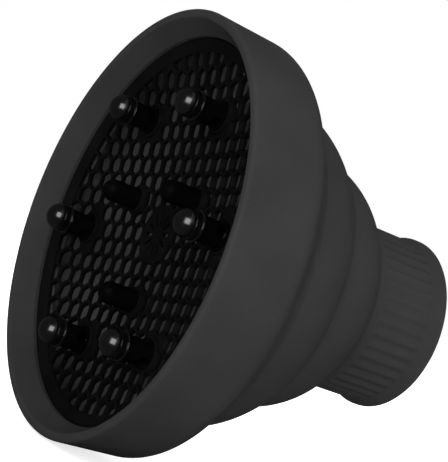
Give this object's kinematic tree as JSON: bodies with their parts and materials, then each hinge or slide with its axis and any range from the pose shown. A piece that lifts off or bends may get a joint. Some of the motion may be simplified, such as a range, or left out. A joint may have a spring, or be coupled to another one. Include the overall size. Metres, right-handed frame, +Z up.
{
  "type": "hair dryer diffuser",
  "caption": "Collapsible silicone dryer diffuser: a wide bell and two fold bands telescope over a fluted nozzle sleeve and hold a dished honeycomb grille with capped prongs.",
  "frame": {"origin": "centre of the nozzle socket's mouth, at the rear end of the neck", "axes": "+Y along the axis of symmetry, out of the nozzle socket towards the dryer; the bell opens towards -Y; +Z up"},
  "size_m": [0.13, 0.1064, 0.13],
  "materials": {
    "silicone": "matte, soft-touch",
    "grille_plastic": "moulded, satin",
    "cap_plastic": "polished"
  },
  "bodies": {
    "neck": {"neck_sleeve": "silicone"},
    "rear_band": {"fold_band_2": "silicone", "hinge_web_3": "silicone"},
    "front_band": {"fold_band_1": "silicone", "hinge_web_2": "silicone"},
    "bell": {"front_bell": "silicone", "hinge_web_1": "silicone"},
    "grille": {"grille_plate": "grille_plastic", "prong_stem_1": "grille_plastic", "prong_stem_2": "grille_plastic", "prong_stem_3": "grille_plastic", "prong_stem_4": "grille_plastic", "prong_stem_5": "grille_plastic", "prong_stem_6": "grille_plastic", "prong_cap_1": "cap_plastic", "prong_cap_2": "cap_plastic", "prong_cap_3": "cap_plastic", "prong_cap_4": "cap_plastic", "prong_cap_5": "cap_plastic", "prong_cap_6": "cap_plastic", "short_prong_1": "grille_plastic", "short_prong_2": "grille_plastic", "short_prong_3": "grille_plastic"}
  },
  "joints": [
    {"name": "fold_rear", "type": "slide", "parent": "neck", "child": "rear_band", "axis": [0, 1, 0], "range_m": [0, 0.016], "deforming": ["hinge_web_3"]},
    {"name": "fold_middle", "type": "slide", "parent": "rear_band", "child": "front_band", "axis": [0, 1, 0], "range_m": [0, 0.0155], "deforming": ["hinge_web_2"]},
    {"name": "fold_front", "type": "slide", "parent": "front_band", "child": "bell", "axis": [0, 1, 0], "range_m": [0, 0.0155], "deforming": ["hinge_web_1"]},
    {"name": "grille_release", "type": "slide", "parent": "bell", "child": "grille", "axis": [0, -1, 0], "range_m": [0, 0.04]}
  ]
}
